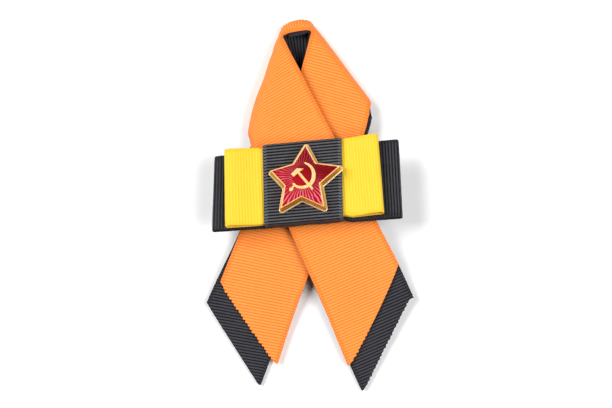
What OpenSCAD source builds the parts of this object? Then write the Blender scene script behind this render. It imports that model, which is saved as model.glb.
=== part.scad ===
// Ribbon brooch, lying on its back: two ribbon layers folded into a loop with crossed tails, a double
// bow held by a wrapped band, a cast star with red enamel, and a bar pin behind.
// The origin is on the surface it lies on, under the middle. +Y points to the top of the loop and +Z
// points out of the front. All sizes are in millimetres.

/* [Ribbon] */
// Thickness of one ribbon layer
cloth_t = 1; // [0.8:0.05:1]
// Gap between two layers that lie on each other
layer_gap = 0.15; // [0.1:0.05:0.2]
// Width of the two ribbons of the loop
loop_w = 25.2; // [24:0.1:26]

/* [Bow] */
// Length of the black bow from fold to fold
black_bow_l = 60; // [54:1:62]
// Width of the black bow ribbon
black_bow_w = 24.6; // [22:0.1:25]
// Length of the yellow bow from fold to fold
yellow_bow_l = 50; // [44:1:52]
// Width of the yellow bow ribbon
yellow_bow_w = 25; // [22:0.1:25.4]
// Radius of the folded ends of the black bow
black_fold_r = 1.6; // [1.3:0.1:1.8]
// Radius of the folded ends of the yellow bow
yellow_fold_r = 1.8; // [1.3:0.1:2]
// Width of the band that is wrapped round the bow
band_w = 25; // [20:1:27]
// Height of the wrapped band from edge to edge
band_h = 25.2; // [25:0.1:26]

/* [Star] */
// Radius to the points of the star at its face
star_r = 11.6; // [10:0.1:12]
// How far the walls of the star spread out from its face to its foot
star_spread = 0.9; // [0.5:0.1:1.1]
// Height of the star
star_h = 3.1; // [2.5:0.1:4]
// Width of the metal rim round the enamel
rim_w = 0.45; // [0.3:0.05:0.8]
// Depth of the recess that holds the enamel
recess_depth = 0.9; // [0.6:0.1:1.2]

/* [Pin] */
// Length of the bar behind the bow
bar_l = 30; // [24:1:34]
// Width of the bar
bar_w = 5; // [4:0.5:6]
// Diameter of the stem that goes through the cloth
stem_d = 1; // [0.8:0.1:1.2]

/* [Hidden] */

// Stations along the loop's ribbon, from the end of the left tail over the loop to the end of the right tail.
// AT is the distance along the ribbon. EDGE_X, EDGE_Y is where the flat front part ends, at the outer edge or
// where the ribbon starts to roll over. FRONT_DIR is the way the ribs run there from the inner edge, and
// FRONT_W how long the flat part is. BACK_DIR is the way the ribs run behind the roll. TOP_Z is the height of
// the outer face in front, ROLL_R the outer radius of the roll, and UNDER_SHIFT how far the black layer
// stands out past the orange one at the outer edge.
AT = 0;
EDGE_X = 1;
EDGE_Y = 2;
FRONT_DIR = 3;
FRONT_W = 4;
BACK_DIR = 5;
TOP_Z = 6;
ROLL_R = 7;
UNDER_SHIFT = 8;
stations = [
    [0, -12.6, -60, -10.5, 25.4, -95, 2.15, 3.1, -3.4],
    [24, -5.45, -37.7, -12, 26.2, -95, 2.9, 3.1, -2.05],
    [48.5, 3, -15.9, -14.5, 25.9, -95, 5.4, 3.1, -0.3],
    [76.5, 12.6, 8.7, -18, 26, -95, 6.2, 3.1, 0.3],
    [85, 16.05, 16.01, -17.9, 26.5, -95.3, 6.25, 3.1, 0.7],
    [91, 17.65, 21.48, -17.7, 27.26, -95.6, 6.22, 3.1, 1.1],
    [95, 18.7, 25.09, -17.7, 26.7, -95.8, 6.21, 3.1, 1.21],
    [98, 18.94, 27.72, -17.6, 24.87, -96, 6.2, 3.1, 1.3],
    [101, 16.82, 31.27, -17.6, 22.03, -96.7, 6.2, 3.1, 1],
    [105, 14.76, 35.78, -17.5, 18.67, -97, 6.2, 3.1, 0.3],
    [110, 7.67, 45.43, -16.5, 9.22, -93.5, 6.23, 3.11, -0.2],
    [114, 3.07, 51.81, -14.5, 3.21, -91.1, 6.11, 3.06, -0.4],
    [117, 0.15, 55.4, -5, -0.5, -90, 5.9, 2.95, -0.6],
    [118.5, -0.92, 56.34, 19, -1.93, -89.3, 5.73, 2.86, -0.9],
    [120, -0.56, 56.64, 51.4, -0.77, -89, 5.54, 2.77, -1.2],
    [122, -1.03, 58.39, 66.2, 1.33, -89.2, 5.34, 2.67, -1.25],
    [124.5, -2.95, 58.88, 83.6, 1.86, -86.8, 5.2, 2.6, -1.25],
    [127, -5.35, 58.18, 103.1, 1.52, -81.1, 5.3, 2.65, -1.25],
    [129, -7.15, 57.14, 116.9, 0.84, -78, 5.1, 2.54, -1.25],
    [130.5, -6.76, 56.16, 148.9, -0.18, -76.4, 5.11, 2.54, -1],
    [132, -6.02, 56.1, 178, -1.37, -75, 5.62, 2.8, -0.8],
    [134, -6.21, 56.56, 212, -2.55, -74, 6.42, 3.2, -0.5],
    [137, -7.85, 52.32, 219, 0.85, -70.5, 7.08, 3.5, -0.4],
    [141, -9.25, 46.4, 214.5, 4.61, -66, 7.8, 3.8, -0.3],
    [148, -12.05, 37.3, 210, 11.17, -62, 8.5, 4.15, 0],
    [155, -13.54, 28, 208.5, 16.42, -57, 8.51, 4.9, 0.8],
    [160, -12.1, 23.76, 207.5, 17.08, -49, 8.5, 7.5, 1.5],
    [165, -16.28, 17.33, 207, 23.61, -46.5, 8.51, 8.5, 1.5],
    [173, -14.1, 9.7, 205.5, 25.2, -46, 8.5, 6, 0.6],
    [203, -2.6, -17.1, 203, 26.4, -46, 7.8, 4.15, 0],
    [223, 5.1, -35.2, 203, 27.4, -46, 4.9, 4.15, 0],
    [254, 16, -62.9, 203, 26.8, -46, 2.15, 4.15, -1.2],
];
last = len(stations) - 1;
ribbon_l = stations[last][AT];
// Rows of the mesh between two stations, and columns in front, round the roll and behind it
rows_each = 2;
front_cols = 3;
roll_cols = 8;
back_cols = 3;
loop_cols = front_cols + roll_cols + back_cols;
// Straight rows lie between these two places, and the rows beyond them lean over to the slanted cuts
straight_from = 60;
straight_to = 198;
// Where the slanted cuts end, along the ribbon: [left inner, left outer, right inner, right outer]
orange_cuts = [31.8, 7.9, 218.9, 243.8];
black_cuts = [24.6, 0.2, 230.2, 252.9];

// Heights of the stack, from the pin up. Pieces that lie on each other are a seat gap apart, and a bow loop
// under the band is two layers with a narrow gap between them.
pin_top = 3.7;
bow_floor = 8.6;
seat_gap = 0.1;
black_z = bow_floor + cloth_t + seat_gap;
held_half = cloth_t + seat_gap / 2;
yellow_z = black_z + 2 * held_half + seat_gap;
band_top = yellow_z + 2 * held_half + seat_gap + cloth_t;
star_z = band_top + seat_gap;

// Place and slant of the bow's pieces: [x, y, slant of the strip, lean of left end, lean of right end]
bow_x = -1;
black_place = [0, 3.45, 4.8, 0.116, 0.037];
yellow_place = [bow_x, 4.6, 5.4, 0.082, 0.019];
band_place = [bow_x, 4.6, 1];
// How far the edges of a bow's ends lie off its strip: [lower one, its slant, upper one, its slant], where a
// slant is what is added at the right fold and taken away at the left one
black_edges = [0.07, -0.97, 0.3, -0.3];
yellow_edges = [-0.25, -0.6, 0.25, -0.2];
band_slant = 4;
star_place = [-0.24, 4.2];

// The strips are drawn in to this half width under the band, and are full again between these distances
pinch_half = 11.3;
pinch_from = band_w / 2 + 1.5;
pinch_to = pinch_from + 4;

// Smooth step from 0 to 1
function ease(t) = let(c = max(0, min(1, t))) c * c * (3 - 2 * c);

// The stretch between stations that holds a place, and the slope of a column at a station
function stretch_of(s, i = 0) = i >= last - 1 || s < stations[i + 1][AT] ? i : stretch_of(s, i + 1);
function slope(i, col) =
    let(a = stations[max(i - 1, 0)], b = stations[min(i + 1, last)]) (b[col] - a[col]) / (b[AT] - a[AT]);

// A column's value anywhere along the ribbon, as a cubic through the stations
function along(s, col) =
    let(i = stretch_of(s), a = stations[i], b = stations[i + 1], step = b[AT] - a[AT], t = (s - a[AT]) / step)
    a[col] * (1 + 2 * t) * pow(1 - t, 2) + b[col] * t * t * (3 - 2 * t)
    + step * (slope(i, col) * t * pow(1 - t, 2) - slope(i + 1, col) * t * t * (1 - t));

// A point of the loop's ribbon: flat in front, rolled over the edge on a half circle, and flat again behind.
// The ribs keep their slant to the edge through the roll, as they do when a flat strip is folded.
function loop_point(s, across, depth, shift) =
    let(
        front_w = along(s, FRONT_W),
        a = along(s, FRONT_DIR),
        b = along(s, BACK_DIR),
        r = along(s, ROLL_R),
        top = along(s, TOP_Z),
        edge = [along(s, EDGE_X), along(s, EDGE_Y)],
        front = [cos(a), sin(a)],
        back = [cos(b), sin(b)],
        square_on = norm(front - back) / 2,
        out = (front - back) / (2 * square_on),
        drift = (front + back) / 2,
        past = across * max(1, front_w / loop_w) + shift - front_w,
        roll_l = PI * r / square_on,
        turn = 180 * min(past / roll_l, 1),
        flat = edge + (past <= 0 ? front * past : drift * min(past, roll_l)),
        xy = past <= 0 ? flat : flat + out * (r - depth) * sin(turn) + back * max(past - roll_l, 0),
        z = past <= 0 ? top - depth : top - r + (r - depth) * cos(turn)
    ) [xy[0], xy[1], z];

// Place along the ribbon of a row, at a share of the way across, leaning over towards the cuts at both ends
function row_at(row) = let(i = min(floor(row / rows_each), last - 1), t = row / rows_each - i)
    stations[i][AT] * (1 - t) + stations[i + 1][AT] * t;
function leaned(s, share, cuts) =
    let(left = cuts[0] + (cuts[1] - cuts[0]) * share, right = cuts[2] + (cuts[3] - cuts[2]) * share)
    s < straight_from ? left + (straight_from - left) * s / straight_from :
    s > straight_to ? straight_to + (right - straight_to) * (s - straight_to) / (ribbon_l - straight_to) : s;

// Share of the way across for a column, so that most columns lie round the roll wherever the ribbon has one
function share_of(col, s) =
    let(
        roll_from = max(0.08, min(0.84, along(s, FRONT_W) / loop_w)),
        square_on = cos((along(s, FRONT_DIR) - along(s, BACK_DIR)) / 2 - 90),
        roll_to = max(roll_from + 0.08, min(0.93, roll_from + PI * along(s, ROLL_R) / square_on / loop_w))
    )
    col <= front_cols ? roll_from * col / front_cols :
    col <= front_cols + roll_cols ? roll_from + (roll_to - roll_from) * (col - front_cols) / roll_cols :
    roll_to + (1 - roll_to) * (col - front_cols - roll_cols) / back_cols;

// Two triangles of a quad, whose corners run clockwise seen from outside
function quad(a, b, c, d) = [[a, b, c], [a, c, d]];

// A sheet with a wall: an outer and an inner grid of points, closed along its four sides
module walled_sheet(outer, inner, rows, cols) {
    size = (rows + 1) * (cols + 1);
    function at(row, col) = row * (cols + 1) + col;
    faces = [
        for (i = [0 : rows - 1]) for (j = [0 : cols - 1]) each concat(
            quad(at(i, j), at(i + 1, j), at(i + 1, j + 1), at(i, j + 1)),
            quad(size + at(i, j), size + at(i, j + 1), size + at(i + 1, j + 1), size + at(i + 1, j))),
        for (i = [0 : rows - 1]) each concat(
            quad(at(i + 1, 0), at(i, 0), size + at(i, 0), size + at(i + 1, 0)),
            quad(at(i, cols), at(i + 1, cols), size + at(i + 1, cols), size + at(i, cols))),
        for (j = [0 : cols - 1]) each concat(
            quad(at(0, j), at(0, j + 1), size + at(0, j + 1), size + at(0, j)),
            quad(at(rows, j + 1), at(rows, j), size + at(rows, j), size + at(rows, j + 1))),
    ];
    polyhedron(concat(outer, inner), faces, convexity = 8);
}

// One layer of the loop's ribbon, with its outer face at a depth under the visible face
module loop_layer(depth, cuts, shifted) {
    rows = last * rows_each;
    function point(i, j, d) =
        let(share = share_of(j, row_at(i)), s = leaned(row_at(i), share, cuts))
        loop_point(s, share * loop_w, d, shifted * along(s, UNDER_SHIFT));
    function grid(d) = [for (i = [0 : rows]) for (j = [0 : loop_cols]) point(i, j, d)];
    walled_sheet(grid(depth), grid(depth + cloth_t), rows, loop_cols);
}

module loop_ribbon_orange() {
    color([1, 0.58, 0.2]) loop_layer(0, orange_cuts, 0);
}

module loop_ribbon_black() {
    color([0.14, 0.14, 0.16]) loop_layer(cloth_t + layer_gap, black_cuts, 1);
}

// Half the thickness of a bow loop at a distance from the middle: flat under the band, full at the fold
opens_at = band_w / 2 + 1;
function loop_half(x, half_l, fold_r) =
    held_half + (fold_r - held_half) * ease((abs(x) - opens_at) / (half_l - fold_r - opens_at));

// Underside of the yellow loop, which rests on the black one
function yellow_floor(x) =
    let(under = x + yellow_place[0] - black_place[0])
    yellow_z + 2 * (loop_half(under, black_bow_l / 2, black_fold_r) - held_half);
function black_floor(x) = black_z;

// Section of a bow loop as [x, z] points: along the top, down the right fold, back below, up the left fold
flat_steps = 20;
fold_steps = 6;
function loop_section(half_l, fold_r, depth, lift) =
    let(reach = half_l - fold_r, r = fold_r - depth)
    concat(
        [for (i = [0 : flat_steps - 1]) let(x = -reach + 2 * reach * i / flat_steps)
            [x, lift(x) + 2 * loop_half(x, half_l, fold_r) - depth]],
        [for (i = [0 : fold_steps - 1]) let(a = 90 - 180 * i / fold_steps)
            [reach + r * cos(a), lift(reach) + fold_r + r * sin(a)]],
        [for (i = [0 : flat_steps - 1]) let(x = reach - 2 * reach * i / flat_steps)
            [x, lift(x) + depth]],
        [for (i = [0 : fold_steps - 1]) let(a = 270 - 180 * i / fold_steps)
            [-reach + r * cos(a), lift(-reach) + fold_r + r * sin(a)]]
    );

// A closed ring with a wall: an outer and an inner section carried across the ribbon
module walled_ring(outer, inner, steps, cols) {
    size = steps * (cols + 1);
    function at(i, j) = (i % steps) * (cols + 1) + j;
    faces = [
        for (i = [0 : steps - 1]) for (j = [0 : cols - 1]) each concat(
            quad(at(i, j), at(i, j + 1), at(i + 1, j + 1), at(i + 1, j)),
            quad(size + at(i, j), size + at(i + 1, j), size + at(i + 1, j + 1), size + at(i, j + 1))),
        for (i = [0 : steps - 1]) each concat(
            quad(at(i, 0), at(i + 1, 0), size + at(i + 1, 0), size + at(i, 0)),
            quad(at(i + 1, cols), at(i, cols), size + at(i, cols), size + at(i + 1, cols))),
    ];
    polyhedron(concat(outer, inner), faces, convexity = 8);
}

// A bow loop, pinched to the band's inside under the band, with its folded ends leaning by their own slants
bow_cols = 2;
module bow_loop(half_l, width, fold_r, place, edges, lift) {
    steps = 2 * (flat_steps + fold_steps);
    function point(p, j, place) =
        let(
            held = 1 - ease((abs(p[0] + place[0] - bow_x) - pinch_from) / (pinch_to - pinch_from)),
            share = j / bow_cols,
            low = edges[0] + edges[1] * p[0] / half_l,
            high = edges[2] + edges[3] * p[0] / half_l,
            moved = (low + (high - low) * share) * (1 - held),
            v = (2 * share - 1) * (width / 2 + (pinch_half - width / 2) * held) + moved,
            lean = p[0] < 0 ? -place[3] * p[0] / half_l : place[4] * p[0] / half_l,
            x = p[0] + v * lean,
            rise = (band_place[1] - place[1]) * held
        ) [place[0] + x * cos(place[2]) - v * sin(place[2]),
           place[1] + rise + x * sin(place[2]) + v * cos(place[2]), p[1]];
    function ring(depth) =
        [for (p = loop_section(half_l, fold_r, depth, lift)) for (j = [0 : bow_cols]) point(p, j, place)];
    walled_ring(ring(0), ring(cloth_t), steps, bow_cols);
}

module bow_black() {
    color([0.14, 0.14, 0.16])
        bow_loop(black_bow_l / 2, black_bow_w, black_fold_r, black_place, black_edges,
                 function(x) black_floor(x));
}

module bow_yellow() {
    color([1, 0.88, 0.2])
        bow_loop(yellow_bow_l / 2, yellow_bow_w, yellow_fold_r, yellow_place, yellow_edges,
                 function(x) yellow_floor(x));
}

// The band is a rounded ring round the bow's middle, whose two edges follow the slant of the strips
band_corner_r = 1.3;
corner_steps = 4;
module centre_band() {
    mid_z = (bow_floor + band_top) / 2;
    half_z = (band_top - bow_floor) / 2;
    function section(depth) = [
        for (corner = [[1, 1], [1, -1], [-1, -1], [-1, 1]]) for (i = [0 : corner_steps])
            let(
                start = corner == [1, 1] ? 90 : corner == [1, -1] ? 0 : corner == [-1, -1] ? -90 : 180,
                a = start - 90 * i / corner_steps,
                r = band_corner_r - depth
            ) [corner[0] * (band_h / 2 - band_corner_r) + r * cos(a),
               mid_z + corner[1] * (half_z - band_corner_r) + r * sin(a)]
    ];
    function ring(depth) = [
        for (p = section(depth)) for (j = [0 : 1])
            let(x = (1 - 2 * j) * band_w / 2, y = p[0] + x * tan(band_slant))
            [band_place[0] + x * cos(band_place[2]) - y * sin(band_place[2]),
             band_place[1] + x * sin(band_place[2]) + y * cos(band_place[2]), p[1]]
    ];
    color([0.14, 0.14, 0.16]) walled_ring(ring(0), ring(cloth_t), 4 * (corner_steps + 1), 1);
}

// Corners of the star's face, a point and an inner corner in turn. The star is cast a little askew, so each
// one has its own radius, as a share of the star's, and its own angle.
star_corners = [
    [0.987, 88], [0.53, 124.8], [0.961, 164.5], [0.56, 197.9], [1.034, 231.8],
    [0.497, 260.7], [0.966, 304.6], [0.453, 344.1], [1.039, 379.5], [0.549, 415],
];
point_r = 0.15;
function star_corner(k) =
    let(c = star_corners[(k + 10) % 10]) star_r * c[0] * [cos(c[1]), sin(c[1])];

// The way out from the side of the star that runs from a corner to the next one
function side_out(k) = let(way = star_corner(k + 1) - star_corner(k)) [way[1], -way[0]] / norm(way);

// The star's outline at a distance outside its face's edge, or inside it where that is below 0
function star_line(out) =
    [for (k = [0 : 9])
        let(
            before = side_out(k + 9),
            after = side_out(k),
            corner_way = (before + after) / (1 + before * after),
            r = point_r + max(out, 0)
        )
        each k % 2 == 1 ? [star_corner(k) + out * corner_way] :
            [for (way = [before, before + after, after])
                star_corner(k) + (out - r) * corner_way + r * way / norm(way)]];
enamel_gap = 0.1;
enamel_sink = 0.1;
enamel_lift = 0.05;
recess_z = star_z + star_h - recess_depth;
relief_over = 0.15;
relief_root = 0.2;

// The relief: a sickle's round blade with its handle, and a hammer across it, placed on the star's face.
// It stands a little over the rim and is rooted in the recess's floor.
relief_place = [-0.55, 1.2];
blade_outer_r = 4.2;
blade_inner_r = 3.64;
blade_shift = 0.74;
blade_shift_dir = 120;
blade_tip_dir = 80;
handle_dir = -128;
past_blade = 9;

// The blade, between two circles that meet at its tip, cut off where the handle starts
module blade(grow) {
    spare = grow / blade_inner_r * 180 / PI;
    cut_from = blade_tip_dir - 2 + spare;
    cut_to = 360 + handle_dir - spare;
    difference() {
        circle(blade_outer_r + grow, $fn = 48);
        translate(blade_shift * [cos(blade_shift_dir), sin(blade_shift_dir)])
            circle(blade_inner_r - grow, $fn = 48);
        polygon([[0, 0], for (k = [0 : 4])
            let(a = cut_from + (cut_to - cut_from) * k / 4) past_blade * [cos(a), sin(a)]]);
    }
}

// A straight bar between two points
module bar(from, to, width, grow) {
    way = to - from;
    translate(from) rotate(atan2(way[1], way[0]))
        translate([-grow, -width / 2 - grow]) square([norm(way) + 2 * grow, width + 2 * grow]);
}

module relief_outline(grow) {
    translate(relief_place) {
        blade(grow);
        bar([-2.3, -2.7], [-3.7, -4.7], 1.2, grow);
        bar([-1.5, 1.4], [3.1, -4.3], 0.95, grow);
        bar([-3.3, -0.1], [-0.3, 2.6], 1.8, grow);
    }
}

// The cast star: leaning side walls, a recess inside the rim, and the relief standing on its floor
module star_frame() {
    foot = [for (p = star_line(star_spread)) [p[0], p[1], star_z]];
    face = [for (p = star_line(0)) [p[0], p[1], star_z + star_h]];
    count = len(foot);
    caps = [[for (k = [0 : count - 1]) k], [for (k = [count - 1 : -1 : 0]) k + count]];
    sides = [for (k = [0 : count - 1]) each quad(k, k + count, (k + 1) % count + count, (k + 1) % count)];
    color([0.9, 0.68, 0.3]) translate([star_place[0], star_place[1], 0]) {
        difference() {
            polyhedron(concat(foot, face), concat(caps, sides));
            translate([0, 0, recess_z]) linear_extrude(recess_depth + 1) polygon(star_line(-rim_w));
        }
        translate([0, 0, recess_z - relief_root])
            linear_extrude(relief_root + recess_depth + relief_over) relief_outline(0);
    }
}

// The enamel fills the recess round the relief
module star_enamel() {
    color([0.78, 0.05, 0.12]) translate([star_place[0], star_place[1], recess_z + enamel_lift])
        linear_extrude(recess_depth - enamel_lift - enamel_sink) difference() {
            polygon(star_line(-rim_w - enamel_gap));
            relief_outline(enamel_gap);
        }
}

// The pin behind: a bar, a block at each end, and the stem between them, all in one piece
block_l = 3;
bar_t = 1;
stem_z = 1.2;
stem_root = 1;
module brooch_pin() {
    color([0.75, 0.76, 0.78]) translate([bow_x, band_place[1], 0]) {
        translate([-bar_l / 2, -bar_w / 2, pin_top - bar_t]) cube([bar_l, bar_w, bar_t]);
        for (side = [0, 1]) translate([-bar_l / 2 + side * (bar_l - block_l), -bar_w / 2, 0])
            cube([block_l, bar_w, pin_top - bar_t / 2]);
        translate([-bar_l / 2 + stem_root, 0, stem_z]) rotate([0, 90, 0])
            cylinder(h = bar_l - 2 * stem_root, d = stem_d, $fn = 24);
    }
}

loop_ribbon_orange();
loop_ribbon_black();
bow_black();
bow_yellow();
centre_band();
star_frame();
star_enamel();
brooch_pin();
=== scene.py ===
"""Ribbon brooch: a lined ribbon loop, a bow in a wrapped band, an enamelled star and a bar pin.

Shapes are worked out in millimetres and put into their meshes in metres. The brooch lies on its back: +Y
points to the top of the loop and +Z out of its front.
"""

import logging
import math
from dataclasses import dataclass, field
from enum import Enum, IntEnum

import bpy
import numpy as np
from mathutils import Matrix, Vector


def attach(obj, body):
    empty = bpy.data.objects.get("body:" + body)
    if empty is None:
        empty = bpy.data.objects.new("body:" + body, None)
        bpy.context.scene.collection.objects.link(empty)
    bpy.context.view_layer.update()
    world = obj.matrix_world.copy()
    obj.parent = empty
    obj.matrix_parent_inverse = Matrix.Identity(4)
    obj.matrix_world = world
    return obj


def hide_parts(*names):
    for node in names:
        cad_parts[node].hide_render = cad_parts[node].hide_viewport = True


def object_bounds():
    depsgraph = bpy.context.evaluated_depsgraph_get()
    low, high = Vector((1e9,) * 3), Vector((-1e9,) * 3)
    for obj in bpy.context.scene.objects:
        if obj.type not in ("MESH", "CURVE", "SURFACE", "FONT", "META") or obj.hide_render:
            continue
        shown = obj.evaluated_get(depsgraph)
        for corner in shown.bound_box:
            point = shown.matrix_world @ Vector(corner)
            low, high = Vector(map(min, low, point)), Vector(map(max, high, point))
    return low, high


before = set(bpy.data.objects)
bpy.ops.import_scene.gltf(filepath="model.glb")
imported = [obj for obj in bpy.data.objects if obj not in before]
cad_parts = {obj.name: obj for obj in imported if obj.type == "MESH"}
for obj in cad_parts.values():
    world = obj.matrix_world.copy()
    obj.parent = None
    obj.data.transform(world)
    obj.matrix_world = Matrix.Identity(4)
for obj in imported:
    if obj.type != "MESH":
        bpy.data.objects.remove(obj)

CAD_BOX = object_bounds()
MM = 0.001
PHOTO_W = 612
log = logging.getLogger("brooch")


class Slot(Enum):
    """The record's material slots."""

    ORANGE = "orange_ribbon"
    BLACK = "black_ribbon"
    YELLOW = "yellow_ribbon"
    GILT = "gilt_metal"
    ENAMEL = "red_enamel"
    STEEL = "pin_steel"


def ease(t: np.ndarray) -> np.ndarray:
    """Smooth step: 3 t squared less 2 t cubed, with t held between 0 and 1."""
    held = np.clip(t, 0.0, 1.0)
    return held * held * (3.0 - 2.0 * held)


def direction(degrees: np.ndarray) -> np.ndarray:
    """Unit vectors in the plane at these angles from +X."""
    turn = np.radians(degrees)
    return np.stack([np.cos(turn), np.sin(turn)], axis=-1)


def grid_quads(rows: int, cols: int, wrap: bool = False) -> np.ndarray:
    """Quads of a grid of points, numbered row by row.

    Args:
        rows: number of rows of points.
        cols: number of points in a row.
        wrap: whether the last row joins the first one.

    Returns:
        Four point numbers for each quad, turning from the rows' way to the columns' way.
    """
    i, j = np.meshgrid(np.arange(rows if wrap else rows - 1), np.arange(cols - 1), indexing="ij")
    ahead = (i + 1) % rows
    corners = [i * cols + j, ahead * cols + j, ahead * cols + j + 1, i * cols + j + 1]
    return np.stack(corners, axis=-1).reshape(-1, 4)


def split_faces(quads: np.ndarray) -> tuple[np.ndarray, np.ndarray]:
    """Parts quads that have lost a corner from whole ones.

    Args:
        quads: four point numbers for each face, where some may name one point twice.

    Returns:
        The whole quads, and the triangles that are left of the others.
    """
    ordered = np.sort(quads, axis=1)
    whole = (np.diff(ordered, axis=1) > 0).all(axis=1)
    lost = quads[~whole]
    tris = np.concatenate([lost[:, [0, 1, 2]], lost[:, [0, 2, 3]]])
    good = (tris[:, 0] != tris[:, 1]) & (tris[:, 1] != tris[:, 2]) & (tris[:, 2] != tris[:, 0])
    return quads[whole], tris[good]


def rim_quads(faces: list[np.ndarray], count: int) -> np.ndarray:
    """Quads that join the open edges of a sheet to those of its other side.

    Args:
        faces: the sheet's faces, one array for each number of corners.
        count: number of points on one side. Each point has its twin that far on.

    Returns:
        A quad for each edge that only one face of the sheet uses.
    """
    edges = np.concatenate([np.stack([f, np.roll(f, -1, axis=1)], axis=-1).reshape(-1, 2) for f in faces])
    code = edges[:, 0] * count + edges[:, 1]
    back = edges[:, 1] * count + edges[:, 0]
    a, b = edges[~np.isin(code, back)].T
    return np.stack([b, a, a + count, b + count], axis=-1)


@dataclass
class Surface:
    """Points, faces and flat coordinates of a mesh, in millimetres.

    The flat coordinates are the rib count and the millimetres across on a ribbon, and on the cast star the
    x and y of the way that its outline faces.
    """

    points: np.ndarray
    faces: list[np.ndarray]
    flat: np.ndarray

    @staticmethod
    def walled(outer: np.ndarray, inner: np.ndarray, faces: list[np.ndarray], flat: np.ndarray) -> "Surface":
        """A sheet with a wall: its outer side, its inner side the other way round, and the rim between.

        Args:
            outer: points of the outer side.
            inner: points of the inner side, in the same order.
            faces: faces of the outer side.
            flat: the flat coordinates of each point.

        Returns:
            The closed surface.
        """
        count = len(outer)
        back = [f[:, ::-1] + count for f in faces]
        rim = rim_quads(faces, count)
        return Surface(np.concatenate([outer, inner]), [*faces, *back, rim], np.concatenate([flat, flat]))

    def joined(self, *others: "Surface") -> "Surface":
        """Joins this surface and others, each with its own points.

        Args:
            others: the surfaces that are added.

        Returns:
            All of them as one surface.
        """
        parts = [self, *others]
        starts = np.cumsum([0] + [len(p.points) for p in parts[:-1]])
        faces = [f + s for p, s in zip(parts, starts) for f in p.faces]
        points = np.concatenate([p.points for p in parts])
        return Surface(points, faces, np.concatenate([p.flat for p in parts]))

    def build(self, name: str, sharp_deg: float = 180.0) -> bpy.types.Object:
        """Puts the surface into a new mesh object.

        Args:
            name: the piece's name.
            sharp_deg: edges that turn by more than this stay sharp.

        Returns:
            The object, at the origin and with its place in its mesh.
        """
        used, flat_index = np.unique(np.concatenate([f.ravel() for f in self.faces]), return_inverse=True)
        polygons, at = [], 0
        for f in self.faces:
            polygons += flat_index[at:at + f.size].reshape(f.shape).tolist()
            at += f.size
        mesh = bpy.data.meshes.new(name)
        mesh.from_pydata((self.points[used] * MM).tolist(), [], polygons)
        corners = np.empty(len(mesh.loops), dtype=np.int32)
        mesh.loops.foreach_get("vertex_index", corners)
        layer = mesh.uv_layers.new(name="cloth")
        layer.data.foreach_set("uv", self.flat[used][corners].astype(np.float32).ravel())
        mesh.polygons.foreach_set("use_smooth", np.ones(len(mesh.polygons), dtype=bool))
        if sharp_deg < 180.0:
            mesh.set_sharp_from_angle(angle=math.radians(sharp_deg))
        mesh.update()
        piece = bpy.data.objects.new(name, mesh)
        bpy.context.scene.collection.objects.link(piece)
        return piece


def hand_over(piece: bpy.types.Object, material: bpy.types.Material, slot: Slot, *nodes: str) -> None:
    """Dresses a new piece, hangs it on the root body and hides the solids that it replaces.

    Args:
        piece: the new object.
        material: its finish.
        slot: the record's slot for that finish; not used.
        nodes: the solids that it replaces.
    """
    piece.data.materials.append(material)
    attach(piece, "root")
    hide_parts(*nodes)
    log.info("%s: %d faces", piece.name, len(piece.data.polygons))


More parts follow.
